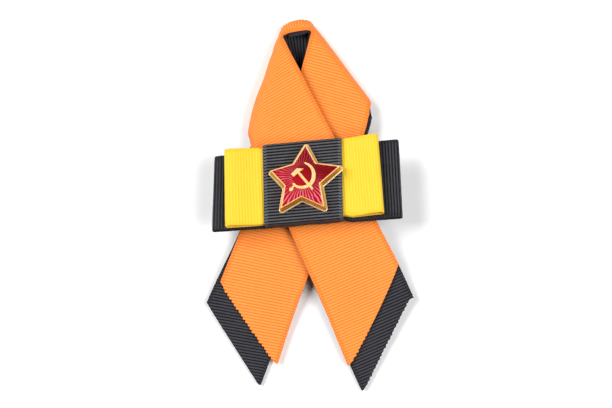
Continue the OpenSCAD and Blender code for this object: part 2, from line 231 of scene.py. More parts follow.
class Shader:
    """A material's nodes, added one at a time round a Principled shader."""

    def __init__(self, name: str) -> None:
        """Starts a material.

        Args:
            name: its name.
        """
        self.material = bpy.data.materials.new(name)
        self.material.use_nodes = True
        self.nodes = self.material.node_tree.nodes
        self.surface = self.nodes["Principled BSDF"]

    def link(self, source: bpy.types.NodeSocket, target: bpy.types.NodeSocket) -> None:
        """Joins two sockets."""
        self.material.node_tree.links.new(source, target)

    def feed(self, node: bpy.types.Node, key: object, value: object) -> None:
        """Gives an input a link or a constant."""
        if isinstance(value, bpy.types.NodeSocket):
            self.link(value, node.inputs[key])
        else:
            node.inputs[key].default_value = value

    def add(self, kind: str, inputs: dict, **settings: object) -> bpy.types.Node:
        """Adds a node.

        Args:
            kind: the node's type.
            inputs: value or source socket for each input, by name or number.
            settings: the node's own options.

        Returns:
            The node.
        """
        node = self.nodes.new(kind)
        for key, value in settings.items():
            setattr(node, key, value)
        for key, value in inputs.items():
            self.feed(node, key, value)
        return node

    def math(self, operation: str, a: object, b: object = 0.0) -> bpy.types.NodeSocket:
        """A sum, product or other operation on two values."""
        return self.add("ShaderNodeMath", {0: a, 1: b}, operation=operation).outputs[0]

    def place(self) -> bpy.types.NodeSocket:
        """The point on the object, in metres."""
        return self.add("ShaderNodeTexCoord", {}).outputs["Object"]

    def cloth(self) -> tuple[bpy.types.NodeSocket, bpy.types.NodeSocket]:
        """The flat coordinates: ribs along and millimetres across, or the star's outward x and y."""
        source = self.add("ShaderNodeUVMap", {}, uv_map="cloth").outputs[0]
        return self.parts(source)[:2]

    def parts(self, vector: bpy.types.NodeSocket) -> tuple:
        """X, Y and Z of a vector."""
        return tuple(self.add("ShaderNodeSeparateXYZ", {0: vector}).outputs)

    def clamp(self, value: bpy.types.NodeSocket) -> bpy.types.NodeSocket:
        """A value held between 0 and 1."""
        return self.add("ShaderNodeClamp", {0: value}).outputs[0]

    def lifted(self, value: bpy.types.NodeSocket) -> bpy.types.NodeSocket:
        """A value of -1 to 1, brought to 0 to 1."""
        return self.math("ADD", self.math("MULTIPLY", value, 0.5), 0.5)

    def ramp(self, value: bpy.types.NodeSocket, low: float, high: float, start: float = 0.0,
             end: float = 1.0) -> bpy.types.NodeSocket:
        """A value that goes from start to end, held there, while another goes from low to high.

        Args:
            value: the value that it follows.
            low: where it starts.
            high: where it ends.
            start: the result up to low.
            end: the result from high on.

        Returns:
            The result's socket.
        """
        return self.add("ShaderNodeMapRange", {0: value, 1: low, 2: high, 3: start, 4: end}).outputs[0]

    def noise(self, vector: object, scale: float, detail: float = 2.0) -> bpy.types.NodeSocket:
        """Soft noise with a value about one half."""
        return self.add("ShaderNodeTexNoise", {"Vector": vector, "Scale": scale, "Detail": detail}).outputs[0]

    def mix(self, share: object, low: tuple, high: tuple) -> bpy.types.NodeSocket:
        """A colour between two, where each may be a colour or a source socket."""
        node = self.add("ShaderNodeMix", {0: share, 6: low, 7: high}, data_type="RGBA")
        return node.outputs[2]

    def bump(self, height: bpy.types.NodeSocket, depth_mm: float) -> bpy.types.NodeSocket:
        """A normal that shows a height of 0 to 1 as relief of that depth."""
        inputs = {"Height": height, "Distance": depth_mm * MM, "Strength": 1.0}
        return self.add("ShaderNodeBump", inputs).outputs[0]

    def set(self, **values: object) -> None:
        """Sets the shader's own inputs, with underscores for the spaces in their names."""
        for key, value in values.items():
            self.feed(self.surface, key.replace("_", " "), value)


def srgb(red: int, green: int, blue: int) -> tuple[float, float, float, float]:
    """Turns a display colour into the linear one that shaders take.

    Args:
        red: its red, from 0 to 255.
        green: its green.
        blue: its blue.

    Returns:
        Red, green and blue from 0 to 1, and an alpha of 1.
    """
    share = np.array([red, green, blue]) / 255.0
    linear = np.where(share <= 0.04045, share / 12.92, ((share + 0.055) / 1.055) ** 2.4)
    return (*linear.tolist(), 1.0)


@dataclass(frozen=True)
class RibbonFinish:
    """Polyester grosgrain: painted highlights on the rib tops, painted shade in the valleys, fine warp
    threads and a soft sheen.
    """

    name: str
    # The valley colour is the painted shade of the rib valleys, and the top colour the painted highlight of
    # the rib tops.
    shaded_valley: tuple
    top: tuple
    edge: tuple
    width_mm: float = 25.0
    selvage_mm: float = 1.3
    thread_mm: float = 0.21
    roughness: float = 0.62
    specular: float = 0.28
    sheen: float = 0.08
    sheen_roughness: float = 0.4
    fleck: float = 0.10
    grain_weight: float = 4.0
    broad_weight: float = 2.0
    thread_weight: float = 1.5
    thread_mean: float = 0.6
    thread_height: float = 0.7
    grain_height: float = 0.5
    # Power that narrows the painted highlight on each rib top.
    line: float = 0.9
    edge_sharpness: float = 6.0
    chevron_slant: float = 0.45
    grain_per_m: float = 900.0
    broad_per_m: float = 55.0
    bump_mm: float = 0.035

    def material(self) -> bpy.types.Material:
        """Builds the material.

        The rib's share of painted highlight, against the painted shade of its valley, is the sine of pi times
        the fraction of the rib count, to the power of line, and the threads are a sine across the ribbon,
        shifted half a thread from rib to rib. In the twill edge the share is a chevron, whose slant turns
        over half way across it. Fine and broad noise and the threads each lighten or darken that share a
        little.

        Returns:
            The material.
        """
        s = Shader(self.name)
        along, across = s.cloth()
        rib = s.math("SINE", s.math("MULTIPLY", s.math("FRACT", along), math.pi))
        rib_highlight_share = s.math("POWER", rib, self.line)
        shifted = s.math("ADD", s.math("DIVIDE", across, self.thread_mm), s.math("MULTIPLY", along, 0.5))
        thread = s.math("ABSOLUTE", s.math("SINE", s.math("MULTIPLY", shifted, math.pi)))
        from_middle = s.math("ABSOLUTE", s.math("SUBTRACT", across, self.width_mm / 2))
        in_edge = s.math("SUBTRACT", from_middle, self.width_mm / 2 - self.selvage_mm)
        selvage = s.clamp(s.math("MULTIPLY", in_edge, self.edge_sharpness))
        half = self.selvage_mm / 2
        bent = s.math("ABSOLUTE", s.math("SUBTRACT", in_edge, half))
        chevron = s.math("SUBTRACT", along, s.math("MULTIPLY", bent, self.chevron_slant / half))
        chevron = s.lifted(s.math("SINE", s.math("MULTIPLY", chevron, 2 * math.pi)))
        grain = s.noise(s.place(), self.grain_per_m, 3.0)
        broad = s.noise(s.place(), self.broad_per_m, 2.0)
        tone = s.add("ShaderNodeMix", {0: selvage, 2: rib_highlight_share, 3: chevron}, data_type="FLOAT").outputs[0]
        flecks = ((grain, 0.5, self.grain_weight), (broad, 0.5, self.broad_weight),
                  (thread, self.thread_mean, self.thread_weight))
        for source, mean, weight in flecks:
            away = s.math("SUBTRACT", source, mean)
            tone = s.math("ADD", tone, s.math("MULTIPLY", away, self.fleck * weight))
        tone = s.clamp(tone)
        # Painted light and shade: each rib runs from a painted shade colour in its valley to a painted
        # highlight colour on its top.
        colour = s.mix(selvage, s.mix(tone, self.shaded_valley, self.top), s.mix(tone, self.shaded_valley, self.edge))
        height = s.math("ADD", s.math("MULTIPLY", thread, self.thread_height),
                        s.math("MULTIPLY", grain, self.grain_height))
        s.set(Base_Color=colour, Roughness=self.roughness, Normal=s.bump(height, self.bump_mm))
        s.set(Specular_IOR_Level=self.specular, Sheen_Weight=self.sheen)
        s.set(Sheen_Roughness=self.sheen_roughness)
        return s.material


@dataclass(frozen=True)
class GiltFinish:
    """Gilt alloy: polished walls, a little uneven, and a brushed rim and figure.

    Heights are in millimetres, and shares of a direction from -1 to 1. The metal is brushed from brushed_z
    up, and has a painted highlight from foot_z down.
    """

    brushed_z: float
    foot_z: float
    name: str = "polished gilt"
    bright: tuple = srgb(255, 216, 120)
    warm: tuple = srgb(255, 180, 70)
    top: tuple = srgb(250, 214, 162)
    # orange is the painted shade of the walls that face down, deep the colour of their painted dark stripes
    # of reflection, and top also serves as the painted highlight at the foot of each wall.
    orange: tuple = srgb(214, 96, 34)
    deep: tuple = srgb(84, 40, 8)
    brushed_blend: float = 0.15
    foot_blend: float = 0.2
    foot_share: float = 0.8
    facing_down: tuple = (-0.72, -0.88)
    lower_right: tuple = (0.64, -0.77)
    facing_it: tuple = (0.78, 0.95)
    reflection_stripe_mm: float = 0.8
    metallic: float = 0.3
    roughness: float = 0.22
    brushed: float = 0.15
    rough_spread: tuple = (-0.05, 0.1)
    patch_range: tuple = (0.35, 0.65)
    grain_range: tuple = (0.35, 0.6)
    reflection_stripe_range: tuple = (-0.2, 0.5)
    patch_per_m: float = 260.0
    fine_per_m: float = 2600.0
    bump_mm: float = 0.02

    def material(self) -> bpy.types.Material:
        """Builds the material: two tones of gold mixed by noise, with fine casting marks as bump.

        The flat coordinates hold the way that a wall faces. The walls that face down get a painted shade,
        darker and more orange, and painted dark stripes of reflection run along those that face the lower
        right, by a sine of the height. The foot of each wall gets a painted highlight in the pale top colour.
        Above a height, in the rim and the figure's tops, the metal is paler and rougher.

        Returns:
            The material.
        """
        s = Shader(self.name)
        right, up = s.cloth()
        place = s.place()
        high = s.parts(place)[2]
        patch = s.noise(place, self.patch_per_m, 3.0)
        fine = s.noise(place, self.fine_per_m, 2.0)
        share, grain = s.ramp(patch, *self.patch_range), s.ramp(fine, *self.grain_range)
        top = s.ramp(high, self.brushed_z * MM, (self.brushed_z + self.brushed_blend) * MM)
        rough = s.ramp(fine, 0.0, 1.0, *(self.roughness + spread for spread in self.rough_spread))
        rough = s.math("ADD", rough, s.math("MULTIPLY", top, self.brushed))
        # Painted shade: walls that face down turn darker and more orange.
        down_facing_shade = s.ramp(up, *self.facing_down)
        facing = [s.math("MULTIPLY", way, part) for way, part in zip((right, up), self.lower_right)]
        facing = s.ramp(s.math("ADD", *facing), *self.facing_it)
        # Painted reflection: dark stripes along the walls that face the lower right.
        reflection_stripe = s.math("SINE", s.math("MULTIPLY", high, 2 * math.pi / (self.reflection_stripe_mm * MM)))
        reflection_stripe = s.ramp(reflection_stripe, *self.reflection_stripe_range)
        # Painted highlight: the foot of each wall is mixed towards the pale top colour.
        foot = s.ramp(high, (self.foot_z + self.foot_blend) * MM, self.foot_z * MM)
        wall = s.mix(down_facing_shade, s.mix(share, self.warm, self.bright), s.mix(grain, self.orange, self.warm))
        wall = s.mix(s.math("MULTIPLY", facing, reflection_stripe), wall, self.deep)
        wall = s.mix(s.math("MULTIPLY", foot, self.foot_share), wall, self.top)
        colour = s.mix(top, wall, s.mix(grain, self.warm, self.top))
        s.set(Base_Color=colour, Metallic=self.metallic, Roughness=rough)
        s.set(Normal=s.bump(s.math("ADD", fine, patch), self.bump_mm))
        return s.material


@dataclass(frozen=True)
class EnamelFinish:
    """Clear red enamel over metal that is engraved with rays, and plain in the middle."""

    centre: tuple
    name: str = "red enamel"
    # deep is the enamel's painted shade and red its painted lit side; line is the rays' colour in the painted
    # shade and glint their painted glint on the lit side.
    deep: tuple = srgb(112, 0, 8)
    red: tuple = srgb(168, 1, 22)
    line: tuple = srgb(160, 12, 32)
    glint: tuple = srgb(220, 124, 140)
    rays: int = 48
    ray_power: float = 4.0
    plain_r: float = 3.3
    plain_blend: float = 0.25
    wander: float = 0.14
    wander_per_m: float = 420.0
    patch_per_m: float = 300.0
    to_light: tuple = (-0.55, -0.75)
    light_reach: tuple = (-4.5, 2.5)
    shown_range: tuple = (0.38, 0.58, 0.3, 1.0)
    metallic: float = 0.1
    roughness: float = 0.35
    specular: float = 0.15
    coat: float = 0.55
    coat_roughness: float = 0.03
    coat_ior: float = 1.5
    bump_mm: float = 0.06

    def material(self) -> bpy.types.Material:
        """Builds the material.

        The rays are a power of a sine of the angle about the star's middle, bent a little by noise, from the
        plain disc outwards. Painted light and shade: the enamel is painted lighter towards the lower left and
        darker away from it, and the rays there get a painted glint. A clear coat lies over them.

        Returns:
            The material.
        """
        s = Shader(self.name)
        place = s.place()
        centre = [-c * MM for c in self.centre]
        x, y, _ = s.parts(s.add("ShaderNodeMapping", {"Vector": place, "Location": centre}).outputs[0])
        angle = s.math("ARCTAN2", y, x)
        bend = s.math("SUBTRACT", s.noise(place, self.wander_per_m, 2.0), 0.5)
        angle = s.math("ADD", angle, s.math("MULTIPLY", bend, self.wander))
        ray = s.lifted(s.math("SINE", s.math("MULTIPLY", angle, float(self.rays))))
        reach = s.math("SQRT", s.math("ADD", s.math("MULTIPLY", x, x), s.math("MULTIPLY", y, y)))
        outside = s.ramp(reach, self.plain_r * MM, (self.plain_r + self.plain_blend) * MM)
        line = s.math("MULTIPLY", s.math("POWER", ray, self.ray_power), outside)
        patch = s.noise(place, self.patch_per_m, 2.0)
        lit = [s.math("MULTIPLY", way, part) for way, part in zip((x, y), self.to_light)]
        lit = s.ramp(s.math("ADD", *lit), *(r * MM for r in self.light_reach))
        shown = s.ramp(patch, *self.shown_range)
        # Painted light and shade: body and rays go from their painted shade to the lit red and the painted
        # glint towards the lower left.
        body = s.mix(lit, self.deep, self.red)
        colour = s.mix(s.math("MULTIPLY", line, shown), body, s.mix(lit, self.line, self.glint))
        s.set(Base_Color=colour, Metallic=self.metallic, Roughness=self.roughness)
        s.set(Specular_IOR_Level=self.specular, Normal=s.bump(line, self.bump_mm))
        s.set(Coat_Weight=self.coat, Coat_Roughness=self.coat_roughness, Coat_IOR=self.coat_ior)
        return s.material


@dataclass(frozen=True)
class SteelFinish:
    """Satin nickel-plated steel, brushed along the bar."""

    name: str = "satin nickel"
    light: tuple = srgb(205, 206, 208)
    dark: tuple = srgb(150, 151, 154)
    lines_per_m: tuple = (60.0, 3000.0, 3000.0)
    roughness: tuple = (0.25, 0.45)
    bump_mm: float = 0.01

    def material(self) -> bpy.types.Material:
        """Builds the material: noise drawn out along X tints the metal and roughens it.

        Returns:
            The material.
        """
        s = Shader(self.name)
        drawn = s.add("ShaderNodeMapping", {"Vector": s.place(), "Scale": self.lines_per_m}).outputs[0]
        line = s.noise(drawn, 1.0, 3.0)
        s.set(Base_Color=s.mix(line, self.dark, self.light), Metallic=1.0)
        s.set(Roughness=s.ramp(line, 0.0, 1.0, *self.roughness), Normal=s.bump(line, self.bump_mm))
        return s.material


@dataclass(frozen=True)
class Grosgrain:
    """The weave of a ribbon: ribs that run across it and a narrow twill edge on both sides."""

    pitch: float = 0.95
    wall: float = 0.46
    rib_rise: float = 0.13
    twill_rise: float = 0.05
    selvage: float = 1.3
    twill_bend: float = 0.6
    twill_share: float = 0.4
    edge_round: float = 0.14
    edge_round_w: float = 0.3
    edge_places: tuple = (0.0, 0.08, 0.25, 0.45, 0.65, 0.85)
    blend_w: float = 0.15
    meets_before: float = 0.1
    meets_over: float = 0.25
    rows_per_rib: int = 4
    nominal: float = 25.0

    def flat(self, ribs: np.ndarray, across: np.ndarray, width: float) -> np.ndarray:
        """Flat coordinates: the rib count, and the place across as on a ribbon of the nominal width."""
        both = np.broadcast_arrays(ribs, across * (self.nominal / width))
        return np.stack(both, axis=-1).reshape(-1, 2)

    def columns(self, width: float, inner: int) -> np.ndarray:
        """Places across the ribbon, close together over the twill edges.

        Args:
            width: the ribbon's width.
            inner: number of places between the two edges.

        Returns:
            The places, from 0 to the width.
        """
        edge = np.array([*self.edge_places, self.selvage, self.selvage + self.blend_w])
        middle = np.linspace(edge[-1], width - edge[-1], inner)
        return np.concatenate([edge[:-1], middle, (width - edge[:-1])[::-1]])

    def rise(self, ribs: np.ndarray, across: np.ndarray, width: float) -> np.ndarray:
        """Height of the weave over the ribbon's plain face.

        A rib is the square root of a half sine of the rib count, and the twill edge a sine along a chevron.
        Both faces draw in at the very edge, as a quarter round.

        Args:
            ribs: the rib count along the ribbon.
            across: the place across it.
            width: its width.

        Returns:
            The height, in millimetres.
        """
        from_edge = np.minimum(across, width - across)
        rib = self.rib_rise * np.sqrt(np.abs(np.sin(np.pi * ribs)))
        bent = self.twill_bend * np.abs(2 * from_edge / self.selvage - 1)
        twill = self.twill_share * self.rib_rise + self.twill_rise * np.sin(2 * np.pi * (ribs - bent))
        inside = ease((from_edge - self.selvage + self.meets_before) / self.meets_over)
        body = twill + (rib - twill) * inside
        away = np.clip(1.0 - from_edge / self.edge_round_w, 0.0, 1.0)
        return body - self.edge_round * away ** 2


class Column(IntEnum):
    """Columns of the loop's table of stations."""

    AT = 0
    EDGE_X = 1
    EDGE_Y = 2
    FRONT_DIR = 3
    FRONT_W = 4
    BACK_DIR = 5
    TOP_Z = 6
    ROLL_R = 7
    UNDER_SHIFT = 8


@dataclass(frozen=True)
class LoopLayer:
    """One ribbon of the loop.

    Its cuts end along the ribbon at: left inner, left outer, right inner, right outer, and the fifth number
    says how far the right cut bulges. depth is that of its outer face, shifted the share of UNDER_SHIFT that
    applies, and horn how far the right cut's inner corner stands out. fray has for each cut how far the ribs
    stand out at its inner and outer end.
    """

    name: str
    node: str
    slot: Slot
    cuts: tuple
    depth: float
    shifted: float
    horn: float
    fray: tuple


@dataclass
class LoopRibbon:
    """The two ribbons of the loop, orange outside and black inside, in two legs that cross.

    The stations run along the ribbon from the end of the left tail over the loop to the end of the right
    tail. AT is the distance along it, EDGE the point where the flat front ends, FRONT_DIR and BACK_DIR the
    ways the ribs run in front and behind, FRONT_W the length of the flat front, TOP_Z the height of its
    face, ROLL_R the radius of the roll, and UNDER_SHIFT how far the black ribbon stands out at the outer
    edge. The rows from 85 to 165 come from a fit to the photo's outline.
    """

    width: float = 25.2
    weave: Grosgrain = Grosgrain()
    orange: LoopLayer = LoopLayer(
        "orange_loop_ribbon", "loop_ribbon_orange", Slot.ORANGE, cuts=(31.8, 7.9, 218.9, 243.8, 0.9),
        depth=0.12, shifted=0.0, horn=0.0, fray=((0.4, 0.5), (0.0, 0.5)))
    black: LoopLayer = LoopLayer(
        "black_loop_ribbon", "loop_ribbon_black", Slot.BLACK, cuts=(24.6, 0.2, 229.3, 253.2, 0.0),
        depth=0.92, shifted=1.0, horn=1.5, fray=((0.0, 0.0), (0.2, 0.34)))
    horn_w: float = 2.4
    inner_columns: int = 26
    measured_in: float = 3.0
    table_steps: int = 4001
    cut_steps: int = 101
    tip_blunt: float = 0.75
    tip_reach: float = 1.3
    least_fray: float = 0.1
    uneven: tuple = (0.5, 1.5)
    follow: float = 0.5
    clear: float = 0.8
    root: float = 0.5
    rib_half: float = 0.47
    rib_thick: float = 0.8
    round_steps: int = 10
    end_run: tuple = (0.0, 0.6, 0.85, 0.95, 1.0)
    end_size: tuple = (0.97, 0.97, 0.93, 0.8, 0.55)
    stations: np.ndarray = field(default_factory=lambda: np.array([
        [0, -12.6, -60, -10.5, 25.4, -95, 2.15, 3.1, -3.4],
        [24, -5.45, -37.7, -12, 26.2, -95, 2.9, 3.1, -2.05],
        [48.5, 3, -15.9, -14.5, 25.9, -95, 5.4, 3.1, -0.3],
        [76.5, 12.6, 8.7, -18, 26, -95, 6.2, 3.1, 0.3],
        [85, 16.05, 16.01, -17.9, 26.5, -95.3, 6.25, 3.1, 0.7],
        [91, 17.65, 21.48, -17.7, 27.26, -95.6, 6.22, 3.1, 1.1],
        [95, 18.7, 25.09, -17.7, 26.7, -95.8, 6.21, 3.1, 1.21],
        [98, 18.94, 27.72, -17.6, 24.87, -96, 6.2, 3.1, 1.3],
        [101, 16.82, 31.27, -17.6, 22.03, -96.7, 6.2, 3.1, 1],
        [105, 14.76, 35.78, -17.5, 18.67, -97, 6.2, 3.1, 0.3],
        [110, 7.67, 45.43, -16.5, 9.22, -93.5, 6.23, 3.11, -0.2],
        [114, 3.07, 51.81, -14.5, 3.21, -91.1, 6.11, 3.06, -0.4],
        [117, 0.15, 55.4, -5, -0.5, -90, 5.9, 2.95, -0.6],
        [118.5, -0.92, 56.34, 19, -1.93, -89.3, 5.73, 2.86, -0.9],
        [120, -0.56, 56.64, 51.4, -0.77, -89, 5.54, 2.77, -1.2],
        [122, -1.03, 58.39, 66.2, 1.33, -89.2, 5.34, 2.67, -1.25],
        [124.5, -2.95, 58.88, 83.6, 1.86, -86.8, 5.2, 2.6, -1.25],
        [127, -5.35, 58.18, 103.1, 1.52, -81.1, 5.3, 2.65, -1.25],
        [129, -7.15, 57.14, 116.9, 0.84, -78, 5.1, 2.54, -1.25],
        [130.5, -6.76, 56.16, 148.9, -0.18, -76.4, 5.11, 2.54, -1],
        [132, -6.02, 56.1, 178, -1.37, -75, 5.62, 2.8, -0.8],
        [134, -6.21, 56.56, 212, -2.55, -74, 6.42, 3.2, -0.5],
        [137, -7.85, 52.32, 219, 0.85, -70.5, 7.08, 3.5, -0.4],
        [141, -9.25, 46.4, 214.5, 4.61, -66, 7.8, 3.8, -0.3],
        [148, -12.05, 37.3, 210, 11.17, -62, 8.5, 4.15, 0],
        [155, -13.54, 28, 208.5, 16.42, -57, 8.51, 4.9, 0.8],
        [160, -12.1, 23.76, 207.5, 17.08, -49, 8.5, 7.5, 1.5],
        [165, -16.28, 17.33, 207, 23.61, -46.5, 8.51, 8.5, 1.5],
        [173, -14.1, 9.7, 205.5, 25.2, -46, 8.5, 6, 0.6],
        [203, -2.6, -17.1, 203, 26.4, -46, 7.8, 4.15, 0],
        [223, 5.1, -35.2, 203, 27.4, -46, 4.9, 4.15, 0],
        [254, 16, -62.9, 203, 26.8, -46, 2.15, 4.15, -1.2],
    ]))

    def column(self, at: np.ndarray, which: Column) -> np.ndarray:
        """A column's value anywhere along the ribbon.

        It is a cubic through the stations, whose slope at each one is the line between its neighbours.

        Args:
            at: distances along the ribbon.
            which: the column.

        Returns:
            The values.
        """
        place, value = self.stations[:, Column.AT], self.stations[:, which]
        low = np.maximum(np.arange(len(place)) - 1, 0)
        high = np.minimum(np.arange(len(place)) + 1, len(place) - 1)
        slope = (value[high] - value[low]) / (place[high] - place[low])
        i = np.clip(np.searchsorted(place, at, side="right") - 1, 0, len(place) - 2)
        step = place[i + 1] - place[i]
        t = (at - place[i]) / step
        return (value[i] * (1 + 2 * t) * (1 - t) ** 2 + value[i + 1] * t * t * (3 - 2 * t)
                + step * (slope[i] * t * (1 - t) ** 2 - slope[i + 1] * t * t * (1 - t)))

    def point(self, at: np.ndarray, across: np.ndarray, depth: np.ndarray, shifted: float) -> np.ndarray:
        """A point of the ribbon: flat in front, rolled over the edge on a half circle, and flat again behind.

        Past the edge, the point goes round by 180 degrees over the roll's length, drifts along the fold by
        the mean of both rib directions, and then follows the direction behind.

        Args:
            at: distance along the ribbon.
            across: distance from its inner edge.
            depth: depth under the outer face.
            shifted: share of UNDER_SHIFT that applies.

        Returns:
            The points, with x, y and z last.
        """
        flat_w = self.column(at, Column.FRONT_W)
        front = direction(self.column(at, Column.FRONT_DIR))
        back = direction(self.column(at, Column.BACK_DIR))
        radius = self.column(at, Column.ROLL_R)
        top = self.column(at, Column.TOP_Z)
        edge = np.stack([self.column(at, Column.EDGE_X), self.column(at, Column.EDGE_Y)], axis=-1)
        square_on = np.linalg.norm(front - back, axis=-1) / 2
        out = (front - back) / (2 * square_on[..., None])
        drift = (front + back) / 2
        shift = shifted * self.column(at, Column.UNDER_SHIFT)
        past = across * np.maximum(1.0, flat_w / self.width) + shift - flat_w
        roll = np.pi * radius / square_on
        turn = np.pi * np.clip(past / roll, 0.0, 1.0)
        ahead = np.minimum(past, 0.0)[..., None] * front
        round_it = np.clip(past, 0.0, roll)[..., None] * drift
        behind = np.maximum(past - roll, 0.0)[..., None] * back
        bulge = (radius - depth)[..., None] * out * np.sin(turn)[..., None]
        xy = edge + ahead + round_it + behind + bulge
        z = top - radius + (radius - depth) * np.cos(turn)
        return np.concatenate([xy, z[..., None]], axis=-1)

    def rib_table(self) -> tuple[np.ndarray, np.ndarray]:
        """Counts the ribs along the ribbon, measured a little in from the inner edge.

        Returns:
            Distances along the ribbon, and the rib count at each.
        """
        at = np.linspace(self.stations[0, Column.AT], self.stations[-1, Column.AT], self.table_steps)
        line = self.point(at, np.full_like(at, self.measured_in), np.zeros_like(at), 0.0)
        run = np.concatenate([[0.0], np.cumsum(np.linalg.norm(np.diff(line, axis=0), axis=1))])
        return at, run / self.weave.pitch

    def cut_line(self, cuts: tuple, side: int, share: np.ndarray) -> np.ndarray:
        """Distance along the ribbon of a cut. The right one bulges by four times the share and its rest.

        Args:
            cuts: a layer's cuts.
            side: 0 for the left tail's cut, and 2 for the right one's.
            share: shares of the way from its inner to its outer end.

        Returns:
            The distances.
        """
        bulge = 4 * cuts[4] * share * (1 - share) if side else 0.0
        return cuts[side] + (cuts[side + 1] - cuts[side]) * share + bulge

    def cut_ribs(self, layer: LoopLayer, side: int, reach: tuple) -> list[Surface]:
        """The ends of the ribs at one cut, which stand out past it unevenly.

        Each rib's end is a short tube. It starts inside the ribbon and runs towards the inner edge, and its
        section is an ellipse as wide as the rib and as thick as the ribbon, which draws in at the very end.
        How far it stands out grows with the third power of the share of the way to the outer end. The ends
        follow a good part of the cut's slant.

        Args:
            layer: the ribbon.
            side: 0 for the left tail's cut, and 2 for the right one's.
            reach: how far the ribs stand out at the cut's inner and outer end.

        Returns:
            The closed tubes as one surface, or nothing where no rib stands out.
        """
        at_table, rib_table = self.rib_table()
        grid = np.linspace(0.0, 1.0, self.cut_steps)
        line = self.cut_line(layer.cuts, side, grid)
        low, high = np.interp(sorted((line[0], line[-1])), at_table, rib_table)
        middle = np.arange(math.ceil(low + self.clear), math.floor(high - self.clear)) + 0.5
        place = np.interp(middle, rib_table, at_table)
        rising = 1 if line[-1] > line[0] else -1
        share = np.interp(place, line[::rising], grid[::rising])
        out = reach[0] + (reach[1] - reach[0]) * share ** 3
        stands = out > self.least_fray
        if not stands.any():
            return []
        middle, share, out = middle[stands], share[stands], out[stands]
        out = out * np.random.default_rng(side + 11).uniform(*self.uneven, len(out))
        turn = np.linspace(0, 2 * np.pi, self.round_steps, endpoint=False)[None, :, None]
        run = np.array(self.end_run)[None, None, :]
        size = np.array(self.end_size)[None, None, :]
        ribs = middle[:, None, None] + self.rib_half * np.cos(turn) * size
        slant = self.follow * self.weave.pitch * self.width / (line[-1] - line[0])
        across = self.width * share[:, None, None] + self.root - (self.root + out[:, None, None]) * run
        across = across + slant * (ribs - middle[:, None, None])
        thick = self.weave.wall / 2 + self.rib_thick * self.weave.rib_rise
        deep = layer.depth + self.weave.wall / 2 - thick * np.sin(turn) * size + 0 * across
        points = self.point(np.interp(ribs, rib_table, at_table), across, deep, layer.shifted)
        steps, rings = across.shape[1:]
        start = (np.arange(len(middle)) * steps * rings)[:, None]
        quads = (start[:, :, None] + grid_quads(steps, rings, wrap=True)[None]).reshape(-1, 4)
        ring = np.arange(steps) * rings
        ends = [start + ring[None, ::-1], start + ring[None, :] + rings - 1]
        flat = self.weave.flat(ribs.ravel(), across.ravel(), self.width)
        return [Surface(points.reshape(-1, 3), [quads, *ends], flat)]

    def sheet(self, layer: LoopLayer) -> Surface:
        """One ribbon as a walled sheet with ribs, cut along the slanted line at both ends.

        Rows follow the rib count. A row that lies past the cut is drawn back onto it, and what is left
        without an area is dropped. The tip of a tail is blunt by a squared distance from its outer edge, and
        the right cut's inner corner stands out by the square of how near it is.

        Args:
            layer: the ribbon.

        Returns:
            The closed surface.
        """
        at_table, rib_table = self.rib_table()
        across = self.weave.columns(self.width, self.inner_columns)
        share = across / self.width
        blunt = self.tip_blunt * np.clip((across - self.width) / self.tip_reach + 1, 0, 1) ** 2
        first = self.cut_line(layer.cuts, 0, share) + blunt
        horn = layer.horn * np.clip(1 - across / self.horn_w, 0, 1) ** 2
        final = self.cut_line(layer.cuts, 2, share) - blunt + horn
        steps = self.weave.rows_per_rib
        low = math.floor(np.interp(first.min(), at_table, rib_table)) * steps
        high = math.ceil(np.interp(final.max(), at_table, rib_table)) * steps
        ribs = np.arange(low, high + 1) / steps
        at = np.interp(ribs, rib_table, at_table)
        place = np.clip(at[:, None], first[None, :], final[None, :])
        count = np.interp(place, at_table, rib_table)
        rows, cols = place.shape
        first_row = np.argmax(at[:, None] > first[None, :], axis=0) - 1
        last_row = rows - np.argmax(at[::-1, None] < final[None, :], axis=0)
        kept = np.clip(np.arange(rows)[:, None], first_row[None, :], last_row[None, :])
        number = kept * cols + np.arange(cols)[None, :]
        quads, tris = split_faces(number.ravel()[grid_quads(rows, cols)])
        wide = np.broadcast_to(across[None, :], place.shape)
        rise = self.weave.rise(count, wide, self.width)
        depths = (layer.depth - rise, layer.depth + self.weave.wall + rise)
        outer, inner = (self.point(place, wide, d, layer.shifted).reshape(-1, 3) for d in depths)
        flat = self.weave.flat(count, wide, self.width)
        return Surface.walled(outer, inner, [quads, tris], flat)

    def build(self, orange: bpy.types.Material, black: bpy.types.Material) -> list[bpy.types.Object]:
        """Args:
            orange: the outer ribbon's finish.
            black: the lining's finish.

        Returns:
            The two pieces.
        """
        pieces = []
        for layer, finish in ((self.orange, orange), (self.black, black)):
            ends = []
            for side, reach in zip((0, 2), layer.fray):
                ends += self.cut_ribs(layer, side, reach)
            piece = self.sheet(layer).joined(*ends).build(layer.name)
            hand_over(piece, finish, layer.slot, layer.node)
            pieces.append(piece)
        return pieces


@dataclass(frozen=True)
class BowLoop:
    """One flat bow loop, and how it lies on the brooch.

    x, y and turn_deg place its strip, and the leans slant its two folded ends. low_edge and high_edge say how
    far those edges lie off the strip, and how much is added to that at the right fold and taken away at the
    left one. held_rise and held_half_w place its middle under the band.
    """

    name: str
    node: str
    slot: Slot
    rests_on: str
    half_l: float
    width: float
    fold_r: float
    floor_z: float
    x: float
    y: float
    turn_deg: float
    left_lean: float
    right_lean: float
    low_edge: tuple
    high_edge: tuple
    held_rise: float
    held_half_w: float


